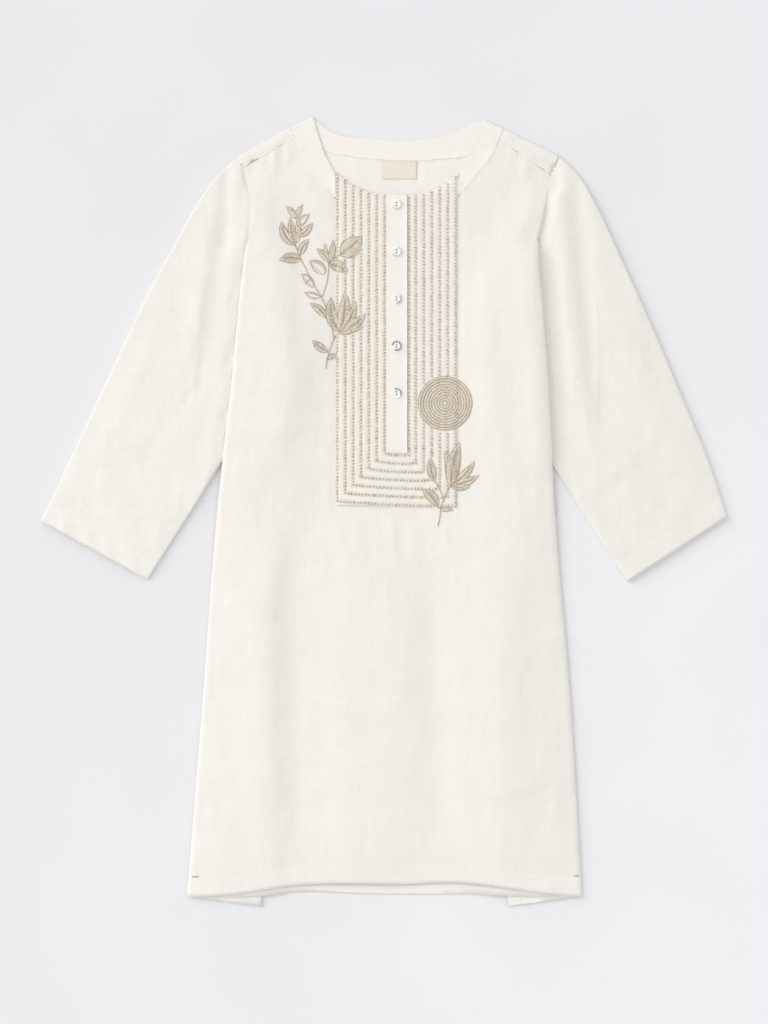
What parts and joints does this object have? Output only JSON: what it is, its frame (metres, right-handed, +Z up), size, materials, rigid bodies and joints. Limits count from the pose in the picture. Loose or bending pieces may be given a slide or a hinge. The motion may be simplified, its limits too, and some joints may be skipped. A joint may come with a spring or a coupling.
{
  "type": "kurta tunic laid flat",
  "caption": "Long linen kurta tunic laid flat, front up, with an embroidered bib, a buttoned half placket, a band neck and three-quarter sleeves, its sides folded under.",
  "frame": {"origin": "on the surface the garment lies on, under the middle of its bounding box", "axes": "+X towards the wearer's left sleeve, +Y from the hem to the neck, +Z up from the surface, out of the front"},
  "size_m": [0.7909, 0.9106, 0.0102],
  "materials": {
    "linen": "plain-weave linen, matt, lightly creased",
    "embroidery": "beige embroidery floss, soft sheen",
    "sewing_thread": "fine matt thread",
    "label_tape": "woven tape, slight sheen, bare",
    "shell": "mother-of-pearl shell, polished"
  },
  "bodies": {
    "root": {"back_panel": "linen", "front_panel": "linen", "right_sleeve": "linen", "left_sleeve": "linen", "neckband": "linen", "bib": "linen", "under_placket": "linen", "placket": "linen", "neck_label": "label_tape", "button_1": "shell", "button_2": "shell", "button_3": "shell", "button_4": "shell", "button_5": "shell"}
  },
  "joints": []
}
